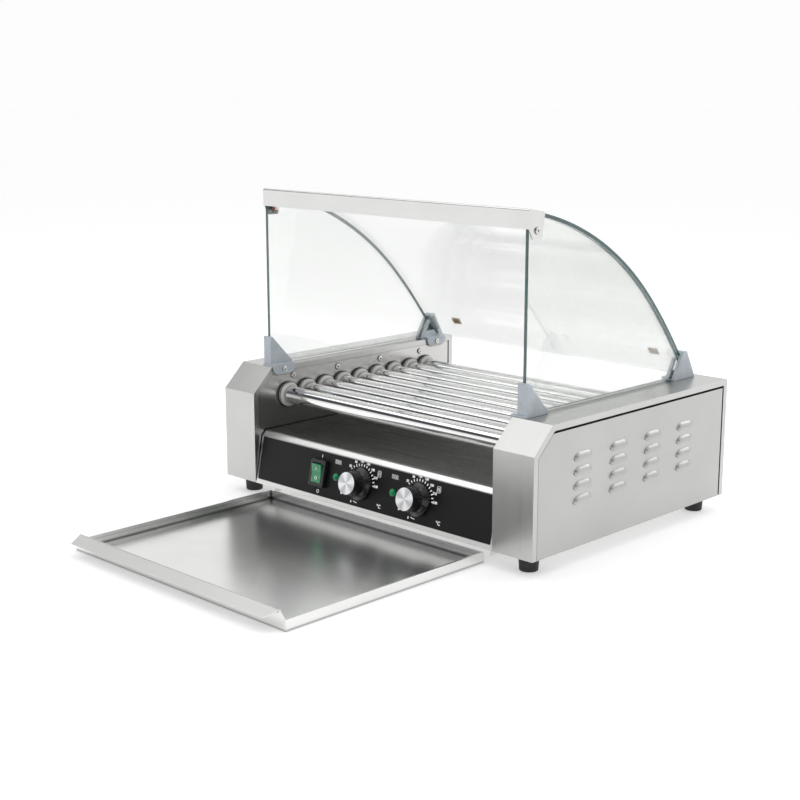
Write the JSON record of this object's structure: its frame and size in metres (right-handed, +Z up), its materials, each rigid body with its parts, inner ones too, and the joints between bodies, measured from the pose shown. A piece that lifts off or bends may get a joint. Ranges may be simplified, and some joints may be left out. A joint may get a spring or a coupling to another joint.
{
  "type": "hot dog roller grill",
  "caption": "Countertop roller grill: driven heated rollers between two stainless housings, curved glass guard, sloping control panel and slide-in drip tray.",
  "frame": {"origin": "on the table, under the middle of the whole grill with its tray drawn out as pictured", "axes": "+X to the operator's right along the rollers, -Y towards the operator, +Z up"},
  "size_m": [0.589, 0.7724, 0.442],
  "materials": {
    "stainless": "brushed, satin",
    "polished_steel": "polished",
    "dark_stainless": "brushed, darker",
    "bush_plastic": "smooth, light grey",
    "clamp_plastic": "smooth, blue grey",
    "glass": "clear with a green edge",
    "black_film": "printed film",
    "black_plastic": "moulded, semi-gloss",
    "knob_metal": "radially brushed",
    "green_lens": "translucent",
    "rubber": "moulded",
    "screw_steel": "plated",
    "chain_steel": "oiled",
    "heater_steel": "heat tinted",
    "motor_paint": "painted",
    "terminal_plastic": "moulded, cream",
    "gland_plastic": "moulded"
  },
  "bodies": {
    "cabinet": {"left_housing_shell": "stainless", "right_housing_shell": "stainless", "left_side_panel": "stainless", "right_side_panel": "stainless", "left_inner_wall": "stainless", "right_inner_wall": "stainless", "bottom_plate": "stainless", "rear_panel": "stainless", "control_panel": "stainless", "drip_deck": "stainless", "guard_top_bar": "stainless", "heater_brackets": "dark_stainless", "left_side_glass": "glass", "right_side_glass": "glass", "curved_glass": "glass", "left_front_clamp": "clamp_plastic", "right_front_clamp": "clamp_plastic", "left_rear_clamp": "clamp_plastic", "right_rear_clamp": "clamp_plastic", "control_overlay": "black_film", "switch_housing": "black_plastic", "indicator_lamps": "green_lens", "rubber_feet": "rubber", "foot_screws": "screw_steel", "pan_head_screws": "screw_steel", "top_bar_nuts": "screw_steel", "roller_bushes": "bush_plastic", "heater_rods": "heater_steel", "gear_motor": "motor_paint", "drive_chain": "chain_steel", "thermostats": "motor_paint", "terminal_block": "terminal_plastic", "cable_gland": "gland_plastic"},
    "roller_1_set": {"roller_1": "polished_steel", "roller_sprocket_1": "chain_steel"},
    "roller_2_set": {"roller_2": "polished_steel", "roller_sprocket_2": "chain_steel"},
    "roller_3_set": {"roller_3": "polished_steel", "roller_sprocket_3": "chain_steel"},
    "roller_4_set": {"roller_4": "polished_steel", "roller_sprocket_4": "chain_steel"},
    "roller_5_set": {"roller_5": "polished_steel", "roller_sprocket_5": "chain_steel"},
    "roller_6_set": {"roller_6": "polished_steel", "roller_sprocket_6": "chain_steel"},
    "roller_7_set": {"roller_7": "polished_steel", "roller_sprocket_7": "chain_steel"},
    "roller_8_set": {"roller_8": "polished_steel", "roller_sprocket_8": "chain_steel"},
    "roller_9_set": {"roller_9": "polished_steel", "roller_sprocket_9": "chain_steel"},
    "drive_sprocket_set": {"drive_sprocket": "chain_steel"},
    "front_knob_set": {"front_knob": "black_plastic", "front_knob_cap": "knob_metal", "front_thermostat_spindle": "screw_steel"},
    "rear_knob_set": {"rear_knob": "black_plastic", "rear_knob_cap": "knob_metal", "rear_thermostat_spindle": "screw_steel"},
    "rocker": {"rocker_button": "green_lens"},
    "tray": {"drip_tray": "stainless"}
  },
  "joints": [
    {"name": "roller_1_spin", "type": "hinge", "parent": "cabinet", "child": "roller_1_set", "pos_m": [0, 0.01625, 0.1435], "axis": [1, 0, 0], "continuous": true},
    {"name": "roller_2_spin", "type": "hinge", "parent": "cabinet", "child": "roller_2_set", "pos_m": [0, 0.05275, 0.1435], "axis": [1, 0, 0], "continuous": true},
    {"name": "roller_3_spin", "type": "hinge", "parent": "cabinet", "child": "roller_3_set", "pos_m": [0, 0.08925, 0.1435], "axis": [1, 0, 0], "continuous": true},
    {"name": "roller_4_spin", "type": "hinge", "parent": "cabinet", "child": "roller_4_set", "pos_m": [0, 0.12575, 0.1435], "axis": [1, 0, 0], "continuous": true},
    {"name": "roller_5_spin", "type": "hinge", "parent": "cabinet", "child": "roller_5_set", "pos_m": [0, 0.16225, 0.1435], "axis": [1, 0, 0], "continuous": true},
    {"name": "roller_6_spin", "type": "hinge", "parent": "cabinet", "child": "roller_6_set", "pos_m": [0, 0.19875, 0.1435], "axis": [1, 0, 0], "continuous": true},
    {"name": "roller_7_spin", "type": "hinge", "parent": "cabinet", "child": "roller_7_set", "pos_m": [0, 0.23525, 0.1435], "axis": [1, 0, 0], "continuous": true},
    {"name": "roller_8_spin", "type": "hinge", "parent": "cabinet", "child": "roller_8_set", "pos_m": [0, 0.27175, 0.1435], "axis": [1, 0, 0], "continuous": true},
    {"name": "roller_9_spin", "type": "hinge", "parent": "cabinet", "child": "roller_9_set", "pos_m": [0, 0.30825, 0.1435], "axis": [1, 0, 0], "continuous": true},
    {"name": "drive_spin", "type": "hinge", "parent": "cabinet", "child": "drive_sprocket_set", "pos_m": [0, 0.16225, 0.059], "axis": [1, 0, 0], "continuous": true},
    {"name": "front_knob_turn", "type": "hinge", "parent": "cabinet", "child": "front_knob_set", "pos_m": [-0.016, -0.03968, 0.05964], "axis": [0, 0.9778, -0.2095], "range_deg": [0, 270]},
    {"name": "rear_knob_turn", "type": "hinge", "parent": "cabinet", "child": "rear_knob_set", "pos_m": [0.092, -0.03968, 0.05964], "axis": [0, 0.9778, -0.2095], "range_deg": [0, 270]},
    {"name": "rocker_tip", "type": "hinge", "parent": "cabinet", "child": "rocker", "pos_m": [-0.095, -0.04262, 0.06027], "axis": [-1, 0, 0], "range_deg": [0, 14]},
    {"name": "tray_slide", "type": "slide", "parent": "cabinet", "child": "tray", "axis": [0, 1, 0], "range_m": [0, 0.318]}
  ],
  "couplings": [
    {"joint": "roller_2_spin", "follows": "roller_1_spin", "ratio": 1},
    {"joint": "roller_3_spin", "follows": "roller_1_spin", "ratio": 1},
    {"joint": "roller_4_spin", "follows": "roller_1_spin", "ratio": 1},
    {"joint": "roller_5_spin", "follows": "roller_1_spin", "ratio": 1},
    {"joint": "roller_6_spin", "follows": "roller_1_spin", "ratio": 1},
    {"joint": "roller_7_spin", "follows": "roller_1_spin", "ratio": 1},
    {"joint": "roller_8_spin", "follows": "roller_1_spin", "ratio": 1},
    {"joint": "roller_9_spin", "follows": "roller_1_spin", "ratio": 1},
    {"joint": "drive_spin", "follows": "roller_1_spin", "ratio": 1}
  ]
}
